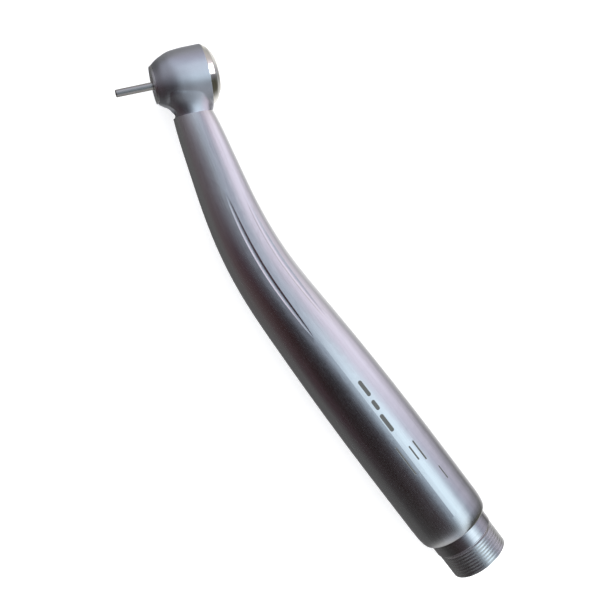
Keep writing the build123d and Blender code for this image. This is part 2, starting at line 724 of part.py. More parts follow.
# name, y, z, free end radius, seat radius, bore radius
STUBS = [
    ("drive_stub", DRIVE_OFF, 0, DRIVE_R, DRIVE_TUBE_R, DRIVE_BORE_R),
    ("water_stub", 0, SMALL_OFF, SMALL_STUB_R, SMALL_SEAT_R, SMALL_STUB_BORE_R),
    ("chip_air_stub", 0, -SMALL_OFF, SMALL_STUB_R, SMALL_SEAT_R, SMALL_STUB_BORE_R),
]
for name, y, z, free_r, seat_r, bore_r in STUBS:
    with BuildPart() as stub:
        with BuildSketch(tail_plane(STUB_SEAT_X)):
            with Locations((y, z)):
                Circle(seat_r)
        extrude(amount=4.5)
        with BuildSketch(tail_plane(RECESS_X + 0.02)):
            with Locations((y, z)):
                Circle(free_r)
        extrude(amount=4.38)
        with BuildSketch(tail_plane(STUB_SEAT_X - 0.5)):
            with Locations((y, z)):
                Circle(bore_r)
        extrude(amount=10, mode=Mode.SUBTRACT)
        chamfer(stub.edges().group_by(Axis.X)[-1], 0.08)
    save(stub, name)

# from the generator cover to the coupling
INLET_X = GEN_X1 - 0.7
with BuildPart() as drive_inlet_tube:
    with BuildSketch(tail_plane(INLET_X)):
        with Locations((DRIVE_OFF, 0)):
            Circle(DRIVE_TUBE_R)
            Circle(DRIVE_BORE_R, mode=Mode.SUBTRACT)
    extrude(amount=TUBE_SEAT_X - INLET_X)
save(drive_inlet_tube, "drive_inlet_tube")

# ---- air driven lamp generator ------------------------------------------------------------------
with BuildPart() as generator_housing:
    with BuildSketch(tail_plane(GEN_X0)):
        Circle(GEN_R)
    extrude(amount=GEN_X1 - GEN_X0)
    with BuildSketch(tail_plane(GEN_X0 + 0.8)):
        Circle(GEN_R - GEN_WALL)
    extrude(amount=30, mode=Mode.SUBTRACT)
    # bearing boss
    with BuildSketch(tail_plane(GEN_X0 + 0.7)):
        Circle(BOSS_R)
    extrude(amount=1.5)
    with BuildSketch(tail_plane(GEN_X0 + 0.4)):
        Circle(BUSH_R + SLIP)
    extrude(amount=3, mode=Mode.SUBTRACT)
    # air way and lead hole
    with BuildSketch(tail_plane(GEN_X0 - 1)):
        with Locations((DRIVE_OFF, 0)):
            Circle(GEN_HOLE_R)
        with Locations((-3.4, 0)):
            Circle(0.7)
    extrude(amount=4, mode=Mode.SUBTRACT)
save(generator_housing, "generator_housing")

with BuildPart() as generator_cover:
    with BuildSketch(tail_plane(GEN_X1 - 1.0)):
        Circle(GEN_R - GEN_WALL - 0.02)
    extrude(amount=1.0)
    # bearing boss
    with BuildSketch(tail_plane(GEN_X1 - 2.3)):
        Circle(BOSS_R)
    extrude(amount=1.4)
    with BuildSketch(tail_plane(GEN_X1 - 2.4)):
        Circle(BUSH_R + SLIP)
    extrude(amount=1.9, mode=Mode.SUBTRACT)
    # hole for the inlet tube
    with BuildSketch(tail_plane(GEN_X1 - 3)):
        with Locations((DRIVE_OFF, 0)):
            Circle(DRIVE_TUBE_R + SLIP)
    extrude(amount=5, mode=Mode.SUBTRACT)
save(generator_cover, "generator_cover")

with BuildPart() as stator_core:
    with BuildSketch(tail_plane(STATOR_X - STATOR_LEN / 2)):
        Circle(4.97)
        Circle(4.25, mode=Mode.SUBTRACT)
        # poles and pole shoes, bored for the magnet
        with PolarLocations(3.85, POLES):
            Rectangle(1.1, 1.3)
        with PolarLocations(3.25, POLES):
            Rectangle(0.45, 2.4)
        Circle(2.95, mode=Mode.SUBTRACT)
    extrude(amount=STATOR_LEN)
save(stator_core, "stator_core")

with BuildPart() as stator_coils:
    # one wound coil around each pole
    with Locations(tail_plane(STATOR_X)):
        with PolarLocations(3.82, POLES):
            Box(0.56, 2.0, 9.2)
            Box(1.0, 1.34, STATOR_LEN + 0.04, mode=Mode.SUBTRACT)
save(stator_coils, "stator_coils")

with BuildPart() as magnet_rotor:
    with BuildSketch(tail_plane(STATOR_X - MAGNET_LEN / 2)):
        Circle(2.7)
        Circle(SHAFT_R + SLIP, mode=Mode.SUBTRACT)
    extrude(amount=MAGNET_LEN)
    chamfer(magnet_rotor.edges().group_by(Axis.X)[-1], 0.2)
save(magnet_rotor, "magnet_rotor")

with BuildPart() as generator_shaft:
    with BuildSketch(tail_plane(GEN_X0 + 0.6)):
        Circle(SHAFT_R)
    extrude(amount=20.8)
    # collar between front bush and magnet
    with BuildSketch(tail_plane(-43.3)):
        Circle(1.1)
    extrude(amount=0.9)
    rims = generator_shaft.edges().group_by(Axis.X)
    chamfer(rims[0] + rims[-1], 0.1)
save(generator_shaft, "generator_shaft")

bladed_wheel("generator_impeller", tail_plane(-31), hub_r=1.7, hub_len=3.6,
             bore_r=SHAFT_R + SLIP, count=6,
             blade=[(1.5, -0.25), (3.0, 0.1), (4.5, 1.1), (4.35, 1.45), (2.9, 0.55), (1.4, 0.3)],
             blade_inset=0.2)

for tag, x, length in (("front", GEN_X0 + 0.5, 1.65), ("rear", GEN_X1 - 2.25, 1.7)):
    with BuildPart() as bush:
        with BuildSketch(tail_plane(x)):
            Circle(BUSH_R)
            Circle(SHAFT_R + 0.02, mode=Mode.SUBTRACT)
        extrude(amount=length)
        # both outer rims
        chamfer(bush.edges().filter_by(GeomType.CIRCLE).sort_by(SortBy.RADIUS)[-2:], 0.12)
    save(bush, f"generator_{tag}_bush")

with BuildPart() as circuit_board:
    with BuildSketch(tail_plane(GEN_X0 - 1.0)):
        Circle(4.9)
        # drive air tube hole, open to the spine side
        with Locations((DRIVE_OFF, 0)):
            Circle(1.2, mode=Mode.SUBTRACT)
        with Locations((5.3, 0)):
            Rectangle(2.6, 1.6, mode=Mode.SUBTRACT)
    extrude(amount=0.8)
    # two blocks on the face toward the head
    with BuildSketch(tail_plane(GEN_X0 - 1.9)):
        with Locations((0.3, 2.6), (0.3, -2.6)):
            Rectangle(1.8, 1.2)
    extrude(amount=1.0)
save(circuit_board, "circuit_board")
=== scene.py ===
# Turbine handpiece with a push button head, lying on a white floor.
# The handle runs along X and bends toward +Y at its -X end, where the head is. Metres, +Z up.
import bpy, bmesh, json, math, random
from mathutils import Vector, Matrix


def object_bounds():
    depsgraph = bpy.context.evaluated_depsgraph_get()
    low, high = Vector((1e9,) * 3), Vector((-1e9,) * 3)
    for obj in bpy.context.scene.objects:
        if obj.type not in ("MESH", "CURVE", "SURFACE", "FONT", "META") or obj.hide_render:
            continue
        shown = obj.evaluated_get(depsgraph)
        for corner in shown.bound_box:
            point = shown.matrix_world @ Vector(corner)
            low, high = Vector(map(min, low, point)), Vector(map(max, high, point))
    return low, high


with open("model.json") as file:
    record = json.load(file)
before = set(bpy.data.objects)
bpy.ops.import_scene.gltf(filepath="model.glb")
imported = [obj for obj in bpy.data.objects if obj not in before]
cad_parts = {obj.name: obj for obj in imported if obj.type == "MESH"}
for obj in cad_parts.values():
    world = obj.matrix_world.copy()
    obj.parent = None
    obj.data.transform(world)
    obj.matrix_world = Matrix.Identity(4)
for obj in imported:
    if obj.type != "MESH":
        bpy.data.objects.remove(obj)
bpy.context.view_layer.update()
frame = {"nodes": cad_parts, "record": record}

random.seed(7)
scene = bpy.context.scene
scene.view_settings.view_transform = "Standard"
scene.view_settings.look = "None"

# ------------------------------------------------------------------------------------------------
# head frame: origin at the centre of the spray face, z toward the push button, x toward the handle
# ------------------------------------------------------------------------------------------------
joints = {joint["name"]: joint for joint in frame["record"]["behaviour"]["joints"]}
HEAD_ORIGIN = Vector(joints["turbine_spin"]["pos_m"])
HEAD_Z = Vector(joints["turbine_spin"]["axis"]).normalized()
HEAD_X = Vector((HEAD_Z.y, -HEAD_Z.x, 0))
HEAD_Y = HEAD_Z.cross(HEAD_X)
HEAD_EULER = Matrix((HEAD_X, HEAD_Y, HEAD_Z)).transposed().to_euler()

# ------------------------------------------------------------------------------------------------
# handle shape and markings
# ------------------------------------------------------------------------------------------------
# centreline of the bent handle in millimetres: x, y
CENTRELINE_MM = (
    (-125.0, 11.5), (-114.6, 8.5), (-111.0, 7.46), (-107.0, 6.31), (-102.5, 5.02),
    (-98.0, 3.75), (-93.5, 2.59), (-89.0, 1.62), (-84.5, 0.88), (-80.0, 0.38),
    (-75.0, 0.09), (-70.0, 0.0), (-65.0, 0.0),
)
BEND_START_MM = CENTRELINE_MM[0][0]
BEND_END_MM = CENTRELINE_MM[-1][0]
BEND_RISE_MM = 12.0    # y that the top of the curve stands for

# etched bars: x from, x to, distance round the surface from +Z toward +Y, half height
ETCHED_BARS = (
    (-0.0505, -0.0465, 0.0014, 0.00045),
    (-0.0455, -0.0430, 0.0011, 0.00045),
    (-0.0420, -0.0375, 0.0007, 0.00045),
    (-0.0331, -0.0280, 0.0028, 0.00020),
    (-0.0328, -0.0291, 0.0014, 0.00018),
    (-0.0344, -0.0270, -0.0010, 0.00016),
    (-0.0250, -0.0215, 0.0042, 0.00016),
)
ETCH_RADIUS = 0.0082     # turns an angle round the handle into a distance
ETCH_SOFTNESS = 0.00003  # half width of the fade at a bar's outline


# ------------------------------------------------------------------------------------------------
# node helpers
# ------------------------------------------------------------------------------------------------
def shade(base, factor, lift=0.0):
    return [min(1, c * factor + lift) for c in base]


class Graph:
    """An emptied node tree, with a short way to add nodes."""

    def __init__(self, tree):
        self.tree = tree
        tree.nodes.clear()

    def put(self, socket, value):
        """Links a socket, or sets a plain value."""
        if isinstance(value, bpy.types.NodeSocket):
            self.tree.links.new(value, socket)
        else:
            socket.default_value = value

    def add(self, kind, inputs={}, **props):
        """Adds a node; inputs maps a socket's index or name to its value or link."""
        node = self.tree.nodes.new("ShaderNode" + kind)
        for key, value in props.items():
            setattr(node, key, value)
        for key, value in inputs.items():
            self.put(node.inputs[key], value)
        return node


class Surface(Graph):
    """A material with one Principled shader."""

    def __init__(self, name):
        self.material = bpy.data.materials.new(name)
        self.material.use_nodes = True
        super().__init__(self.material.node_tree)
        output = self.add("OutputMaterial")
        self.shader = self.add("BsdfPrincipled")
        self.put(output.inputs["Surface"], self.shader.outputs[0])

    def set(self, **inputs):
        """Sets Principled inputs; an underscore stands for a space."""
        for key, value in inputs.items():
            self.put(self.shader.inputs[key.replace("_", " ")], value)

    # numbers
    def math(self, operation, a, b=0.0):
        return self.add("Math", {0: a, 1: b, 2: 0.0}, operation=operation).outputs[0]

    def times(self, value, factor):
        return self.math("MULTIPLY", value, factor)

    def plus(self, start, value, factor):
        return self.math("ADD", start, self.times(value, factor))

    def minus(self, start, value, factor):
        return self.math("SUBTRACT", start, self.times(value, factor))

    def blend(self, first, second, share):
        """Weighted sum, share being the weight of the first value."""
        return self.plus(self.times(first, share), second, 1 - share)

    def length(self, a, b):
        squares = self.math("ADD", self.times(a, a), self.times(b, b))
        return self.math("SQRT", squares)

    def remap(self, value, span, to=(0.0, 1.0)):
        inputs = {0: value, 1: span[0], 2: span[1], 3: to[0], 4: to[1]}
        return self.add("MapRange", inputs).outputs[0]

    # vectors
    def coords(self):
        return self.add("TexCoord").outputs["Object"]

    def head_coords(self):
        inputs = {"Location": HEAD_ORIGIN, "Rotation": HEAD_EULER, "Vector": self.coords()}
        return self.add("Mapping", inputs, vector_type="TEXTURE").outputs[0]

    def split(self, vector):
        return self.add("SeparateXYZ", {0: vector}).outputs

    def join(self, x, y, z):
        return self.add("CombineXYZ", {0: x, 1: y, 2: z}).outputs[0]

    def scaled(self, vector, factors):
        return self.add("VectorMath", {0: vector, 1: factors}, operation="MULTIPLY").outputs[0]

    # patterns
    def noise(self, vector, scale=1.0, detail=3.0, rough=0.5, distort=0.0):
        inputs = {"Vector": vector, "Scale": scale, "Detail": detail,
                  "Roughness": rough, "Distortion": distort}
        return self.add("TexNoise", inputs).outputs["Fac"]

    def wave(self, vector, axis, scale, distort):
        inputs = {"Vector": vector, "Scale": scale, "Distortion": distort}
        node = self.add("TexWave", inputs, wave_type="BANDS", bands_direction=axis)
        return node.outputs["Fac"]

    def cells(self, vector, feature, scale):
        node = self.add("TexVoronoi", {"Vector": vector, "Scale": scale}, feature=feature)
        return node.outputs["Distance"]

    def edge(self, radius):
        """0 on open surface, toward 1 within radius of an edge."""
        bevel = self.add("Bevel", {"Radius": radius}, samples=4)
        geometry = self.add("NewGeometry")
        inputs = {0: bevel.outputs[0], 1: geometry.outputs["Normal"]}
        dot = self.add("VectorMath", inputs, operation="DOT_PRODUCT")
        return self.remap(dot.outputs["Value"], span=(0.998, 0.86))

    # colours
    def ramp(self, value, stops):
        """Colour ramp from a {position: rgb} table of two or more stops."""
        node = self.add("ValToRGB", {0: value})
        elements = node.color_ramp.elements
        while len(elements) < len(stops):
            elements.new(0.5)
        for element, (position, color) in zip(elements, stops.items()):
            element.position = position
            element.color = (*color, 1)
        return node.outputs[0]

    def tones(self, value, base, brightness):
        """Ramp over shades of one colour, from a {position: brightness} table."""
        return self.ramp(value, {at: shade(base, factor) for at, factor in brightness.items()})

    def mix(self, factor, a, b):
        # 6 and 7 are the colour sockets
        return self.add("Mix", {0: factor, 6: a, 7: b}, data_type="RGBA").outputs[2]

    def wear(self, color, worn, amount, base, factor, lift=0.0):
        """Brightens the worn edges."""
        return self.mix(self.times(worn, amount), color, (*shade(base, factor, lift), 1.0))

    def bump(self, height, strength, distance, under=None):
        """Bump, laid over the normal given as under."""
        inputs = {"Strength": strength, "Distance": distance, "Height": height}
        if under is not None:
            inputs["Normal"] = under
        return self.add("Bump", inputs).outputs[0]


def centreline_y(g, x):
    """Y of the bent handle's centreline, as a curve of x."""
    node = g.add("FloatCurve")
    span = (BEND_START_MM / 1000, BEND_END_MM / 1000)
    g.put(node.inputs["Value"], g.remap(x, span=span))
    length = BEND_END_MM - BEND_START_MM
    points = [((px - BEND_START_MM) / length, py / BEND_RISE_MM) for px, py in CENTRELINE_MM]
    curve = node.mapping.curves[0]
    curve.points[0].location = points[0]
    curve.points[1].location = points[-1]
    for point in points[1:-1]:
        curve.points.new(*point)
    node.mapping.update()
    return g.times(node.outputs[0], BEND_RISE_MM / 1000)


def bar_mask(g, x, across):
    """1 inside the etched bars, which are laid along X with rounded ends."""
    total = None
    for start, end, centre, half in ETCHED_BARS:
        from_middle = g.math("ABSOLUTE", g.math("SUBTRACT", x, (start + end) / 2))
        past_end = g.math("SUBTRACT", from_middle, (end - start) / 2 - half)
        past_end = g.math("MAXIMUM", past_end, 0.0)
        distance = g.length(past_end, g.math("SUBTRACT", across, centre))
        fade = (half - ETCH_SOFTNESS, half + ETCH_SOFTNESS)
        mask = g.remap(distance, span=fade, to=(1.0, 0.0))
        total = mask if total is None else g.math("MAXIMUM", total, mask)
    return total


# ------------------------------------------------------------------------------------------------
# metals
# ------------------------------------------------------------------------------------------------
def brushed_body(name, base, rough):
    """Satin steel: fine streaks that follow the bend, handling marks, worn edges, etched bars."""
    g = Surface(name)
    x, y, z = g.split(g.coords())
    y_off = g.math("SUBTRACT", y, centreline_y(g, x))

    def streaks(along, across, detail, rough):
        # along and across are the pattern's frequencies
        vector = g.join(g.times(x, along), g.times(y_off, across), g.times(z, across))
        return g.noise(vector, detail=detail, rough=rough)

    streak = streaks(along=45.0, across=5200.0, detail=4.0, rough=0.62)
    broad = streaks(along=18.0, across=900.0, detail=3.0, rough=0.55)
    grain = g.noise(g.coords(), scale=9000.0, detail=2.0, rough=0.6)
    smudge = g.noise(g.coords(), scale=60.0, detail=4.0, rough=0.6, distort=0.6)
    scratch_space = g.scaled(g.coords(), factors=(140.0, 2400.0, 900.0))
    scratch = g.noise(scratch_space, detail=2.0, rough=0.5, distort=1.2)
    scratch = g.remap(scratch, span=(0.68, 0.74))
    worn = g.edge(radius=0.00025)
    tone = g.blend(streak, broad, share=0.5)
    color = g.tones(tone, base, brightness={0.32: 0.90, 0.5: 1.0, 0.68: 1.07})
    color = g.wear(color, worn, amount=0.5, base=base, factor=1.2)
    roughness = g.plus(rough - 0.09, streak, factor=0.12)
    roughness = g.plus(roughness, smudge, factor=0.09)
    roughness = g.minus(roughness, scratch, factor=0.05)
    roughness = g.minus(roughness, worn, factor=0.10)
    # etched bars: darker, rougher, a touch below the surface
    arc = g.times(g.math("ARCTAN2", y_off, z), ETCH_RADIUS)
    etch = bar_mask(g, x, arc)
    speck = g.noise(g.coords(), scale=16000.0, detail=2.0, rough=0.6)
    dark = g.mix(speck, a=(0.045, 0.052, 0.048, 1), b=(0.12, 0.13, 0.12, 1))
    color = g.mix(g.times(etch, factor=0.92), color, dark)
    roughness = g.plus(roughness, etch, factor=0.35)
    metallic = g.remap(etch, span=(0, 1), to=(1.0, 0.35))
    normal = g.bump(streak, strength=0.11, distance=0.00002)
    normal = g.bump(grain, strength=0.035, distance=0.00001, under=normal)
    normal = g.bump(g.times(etch, factor=-1.0), strength=0.5, distance=0.00001, under=normal)
    g.set(Base_Color=color, Metallic=metallic, Roughness=roughness, Normal=normal)
    return g.material


def blasted(name, base, rough, scale=7000.0, bump=0.35):
    """Bead blasted: even fine pits, cloudy roughness, bright worn edges."""
    g = Surface(name)
    coords = g.coords()
    pits = g.noise(coords, scale=scale, detail=3.0, rough=0.7)
    cloud = g.noise(coords, scale=320.0, detail=4.0, rough=0.6)
    film = g.noise(coords, scale=90.0, detail=3.0, rough=0.6, distort=0.8)
    worn = g.edge(radius=0.00022)
    tone = g.blend(pits, cloud, share=0.6)
    color = g.tones(tone, base, brightness={0.3: 0.88, 0.5: 1.0, 0.7: 1.08})
    color = g.wear(color, worn, amount=0.6, base=base, factor=1.22)
    roughness = g.plus(rough - 0.08, cloud, factor=0.10)
    roughness = g.plus(roughness, film, factor=0.07)
    roughness = g.minus(roughness, worn, factor=0.14)
    normal = g.bump(pits, strength=bump, distance=0.000018)
    g.set(Base_Color=color, Metallic=1.0, Roughness=roughness, Normal=normal)
    return g.material


def turned(name, base, rough, about, pitch, depth, extra_stain=0.0):
    """Lathe turned: fine rings round the head's z or the body's x, with chatter and stain."""
    g = Surface(name)
    if about == "head":
        side_a, side_b, along = g.split(g.head_coords())
    else:
        along, side_a, side_b = g.split(g.coords())
    radius = g.length(side_a, side_b)

    def ring_space(frequency):
        return g.join(g.times(radius, frequency), g.times(along, frequency), 0.0)

    rings = g.noise(ring_space(pitch), detail=4.0, rough=0.65)
    coarse = g.noise(ring_space(pitch * 0.12), detail=2.0)
    stain = g.noise(g.coords(), scale=240.0, detail=4.0, rough=0.6, distort=0.5)
    grain = g.noise(g.coords(), scale=14000.0, detail=2.0, rough=0.6)
    worn = g.edge(radius=0.00015)
    tone = g.blend(rings, coarse, share=0.55)
    color = g.tones(tone, base, brightness={0.3: 0.86, 0.5: 1.0, 0.7: 1.1})
    color = g.wear(color, worn, amount=0.6, base=base, factor=1.2)
    roughness = g.plus(rough - 0.06, rings, factor=0.10)
    roughness = g.plus(roughness, stain, factor=0.06 + extra_stain)
    least_rough = 0.04
    roughness = g.math("MAXIMUM", g.minus(roughness, worn, factor=0.08), least_rough)
    normal = g.bump(rings, strength=depth, distance=0.000012)
    normal = g.bump(grain, strength=depth * 0.3, distance=0.000006, under=normal)
    g.set(Base_Color=color, Metallic=1.0, Roughness=roughness, Normal=normal)
    return g.material


def polished(name, base, rough):
    """Mirror polish with wiping marks, micro scratches and a faint film."""
    g = Surface(name)
    coords = g.coords()
    film = g.noise(coords, scale=180.0, detail=5.0, rough=0.6, distort=0.9)
    micro_space = g.scaled(g.head_coords(), factors=(2600.0, 700.0, 5200.0))
    micro = g.noise(micro_space, detail=3.0, rough=0.6, distort=0.7)
    pit = g.noise(coords, scale=11000.0, detail=1.0, rough=0.5)
    worn = g.edge(radius=0.00015)
    color = g.tones(film, base, brightness={0.3: 0.94, 0.7: 1.0})
    color = g.wear(color, worn, amount=0.35, base=base, factor=1.12)
    roughness = g.plus(rough - 0.03, film, factor=0.07)
    roughness = g.plus(roughness, g.remap(micro, span=(0.6, 0.75)), factor=0.08)
    normal = g.bump(micro, strength=0.05, distance=0.00001)
    normal = g.bump(pit, strength=0.03, distance=0.000005, under=normal)
    g.set(Base_Color=color, Metallic=1.0, Roughness=roughness, Normal=normal)
    return g.material


def plain_metal(name, base, rough, scale=3000.0):
    """Ground or drawn stock: short directional grain and mottling."""
    g = Surface(name)
    grain_space = g.scaled(g.head_coords(), factors=(scale, scale, scale * 0.12))
    grain = g.noise(grain_space, detail=3.0, rough=0.6)
    mottle = g.noise(g.coords(), scale=500.0, detail=3.0, rough=0.6)
    worn = g.edge(radius=0.0001)
    color = g.tones(grain, base, brightness={0.3: 0.85, 0.7: 1.06})
    color = g.wear(color, worn, amount=0.5, base=base, factor=1.2)
    roughness = g.plus(rough - 0.06, mottle, factor=0.12)
    normal = g.bump(grain, strength=0.2, distance=0.00001)
    g.set(Base_Color=color, Metallic=1.0, Roughness=roughness, Normal=normal)
    return g.material


def winding(name):
    """Enamelled copper turns."""
    g = Surface(name)
    turns = g.wave(g.coords(), axis="X", scale=1400.0, distort=0.4)
    variation = g.noise(g.coords(), scale=900.0, detail=3.0)
    color = g.ramp(variation, stops={0.3: (0.45, 0.16, 0.05), 0.7: (0.72, 0.30, 0.11)})
    roughness = g.remap(variation, span=(0, 1), to=(0.22, 0.42))
    normal = g.bump(turns, strength=0.7, distance=0.00006)
    g.set(Base_Color=color, Metallic=0.85, Roughness=roughness, Normal=normal, Coat_Weight=0.4)
    return g.material


# ------------------------------------------------------------------------------------------------
# plastics, ceramic, lamp and board
# ------------------------------------------------------------------------------------------------
def dielectric(name, base, rough, scale=1500.0, bump=0.2, coat=0.0):
    """Plastic, rubber or ceramic with a fine surface and slightly paler edges."""
    g = Surface(name)
    coords = g.coords()
    fine = g.noise(coords, scale=scale, detail=4.0, rough=0.6)
    broad = g.noise(coords, scale=scale * 0.12, detail=3.0, rough=0.6)
    worn = g.edge(radius=0.00012)
    color = g.tones(broad, base, brightness={0.3: 0.86, 0.7: 1.08})
    color = g.wear(color, worn, amount=0.25, base=base, factor=1.3, lift=0.03)
    roughness = g.plus(rough - 0.06, fine, factor=0.12)
    normal = g.bump(fine, strength=bump, distance=0.00001)
    g.set(Base_Color=color, Metallic=0.0, Roughness=roughness, Normal=normal, Coat_Weight=coat)
    return g.material


def lamp_phosphor(name):
    """Yellow, in fine cells."""
    g = Surface(name)
    cells = g.cells(g.coords(), feature="F1", scale=9000.0)
    color = g.ramp(cells, stops={0.0: (0.80, 0.66, 0.12), 0.8: (0.92, 0.85, 0.32)})
    g.set(Base_Color=color, Roughness=0.5,
          Normal=g.bump(cells, strength=0.3, distance=0.00001),
          Subsurface_Weight=0.1, Subsurface_Scale=0.0001)
    return g.material


def lamp_glass(name):
    """Clear glass with faint unevenness."""
    g = Surface(name)
    fine = g.noise(g.coords(), scale=2500.0, detail=3.0)
    g.set(Base_Color=(0.96, 0.96, 0.92, 1),
          Roughness=g.remap(fine, span=(0, 1), to=(0.02, 0.09)),
          Normal=g.bump(fine, strength=0.04, distance=0.00001),
          Transmission_Weight=1.0, IOR=1.5)
    return g.material


def board(name):
    """Green laminate with a weave and paler tracks."""
    g = Surface(name)
    coords = g.coords()
    weave = g.wave(coords, axis="Z", scale=900.0, distort=0.6)
    cells = g.cells(coords, feature="DISTANCE_TO_EDGE", scale=900.0)
    track = g.remap(cells, span=(0.05, 0.09), to=(1.0, 0.0))
    color = g.mix(track, a=(0.015, 0.16, 0.07, 1), b=(0.03, 0.28, 0.12, 1))
    normal = g.bump(g.math("ADD", weave, track), strength=0.3, distance=0.00002)
    g.set(Base_Color=color, Roughness=0.3, Normal=normal)
    return g.material


def look(build, base=None, rough=None, **extra):
    """One entry of LOOKS: the builder and its settings."""
    return build, extra if base is None else dict(base=base, rough=rough, **extra)


# material slot: builder, base colour, roughness and what else the builder takes
LOOKS = {
    "satin_steel_body": look(brushed_body, (0.80, 0.80, 0.81), 0.225),
    "satin_steel_head": look(blasted, (0.61, 0.62, 0.66), 0.37),
    "turned_steel": look(turned, (0.86, 0.86, 0.86), 0.30, about="head", pitch=7000.0, depth=0.5),
    "polished_chrome": look(polished, (0.88, 0.86, 0.80), 0.08),
    "polished_steel": look(turned, (0.80, 0.78, 0.79), 0.14, about="body", pitch=6000.0,
                           depth=0.12, extra_stain=0.03),
    "machined_steel": look(turned, (0.80, 0.80, 0.80), 0.20, about="body", pitch=9000.0,
                           depth=0.3, extra_stain=0.03),
    "spring_steel": look(plain_metal, (0.60, 0.60, 0.62), 0.30),
    "ground_steel": look(turned, (0.72, 0.72, 0.74), 0.22, about="head", pitch=12000.0, depth=0.3),
    "anodised_aluminium": look(blasted, (0.78, 0.79, 0.81), 0.42, scale=9000.0, bump=0.25),
    "bur_steel": look(plain_metal, (0.57, 0.55, 0.52), 0.20, scale=5000.0),
    "lamp_body": look(dielectric, (0.07, 0.07, 0.04), 0.5),
    "lamp_phosphor": look(lamp_phosphor),
    "lamp_glass": look(lamp_glass),
    "lead_insulation": look(dielectric, (0.55, 0.05, 0.03), 0.35, scale=2500.0, bump=0.15),
    "seal_rubber": look(dielectric, (0.025, 0.025, 0.027), 0.6, scale=4000.0, bump=0.4),
    "tube_steel": look(plain_metal, (0.72, 0.72, 0.72), 0.28, scale=4000.0),
    "core_steel": look(turned, (0.30, 0.30, 0.32), 0.45, about="body", pitch=5000.0, depth=0.9),
    "enamelled_copper": look(winding),
    "nickel_plating": look(polished, (0.72, 0.70, 0.64), 0.16),
    "white_plastic": look(dielectric, (0.80, 0.80, 0.76), 0.45),
    "bronze": look(blasted, (0.60, 0.38, 0.16), 0.45, scale=8000.0, bump=0.4),
    "board_laminate": look(board),
    "white_ceramic": look(dielectric, (0.82, 0.82, 0.78), 0.14, scale=3000.0, bump=0.05, coat=0.5),
    "cage_plastic": look(dielectric, (0.30, 0.16, 0.06), 0.5, scale=2500.0, bump=0.3),
}
materials = {name: build(name, **settings) for name, (build, settings) in LOOKS.items()}
for subpart in frame["record"]["subparts"]:
    slots = frame["nodes"][subpart["node"]].data.materials
    slots.clear()
    slots.append(materials[subpart["material_slot"]])

# ------------------------------------------------------------------------------------------------
# floor
# ------------------------------------------------------------------------------------------------
FLOOR_GAP = 0.00002    # below the lowest point


def floor_paper():
    """White paper that glows a little."""
    g = Surface("floor_paper")
    mottle = g.noise(g.coords(), scale=60.0, detail=3.0)
    color = g.ramp(mottle, stops={0.3: (0.90, 0.90, 0.90), 0.7: (0.93, 0.93, 0.93)})
    g.set(Base_Color=color, Roughness=0.9, Specular_IOR_Level=0.1,
          Emission_Color=(1, 1, 1, 1), Emission_Strength=0.34)
    return g.material


floor_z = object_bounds()[0].z - FLOOR_GAP
floor_mesh = bpy.data.meshes.new("floor")
bm = bmesh.new()
bmesh.ops.create_grid(bm, x_segments=8, y_segments=8, size=4.0)
bm.to_mesh(floor_mesh)
bm.free()
floor = bpy.data.objects.new("floor", floor_mesh)
scene.collection.objects.link(floor)
floor.location = (0, 0, floor_z)
floor_mesh.materials.append(floor_paper())
floor.visible_glossy = False

# ------------------------------------------------------------------------------------------------
# world: soft cards round the object, read by the direction a reflection leaves in
# ------------------------------------------------------------------------------------------------
# degrees round the X axis, 0 straight up and positive toward +Y
TURN = (-180, -158, -120, -90, -60, -30, -15, 0, 15, 30, 45, 60, 80, 105, 120, 140, 165)
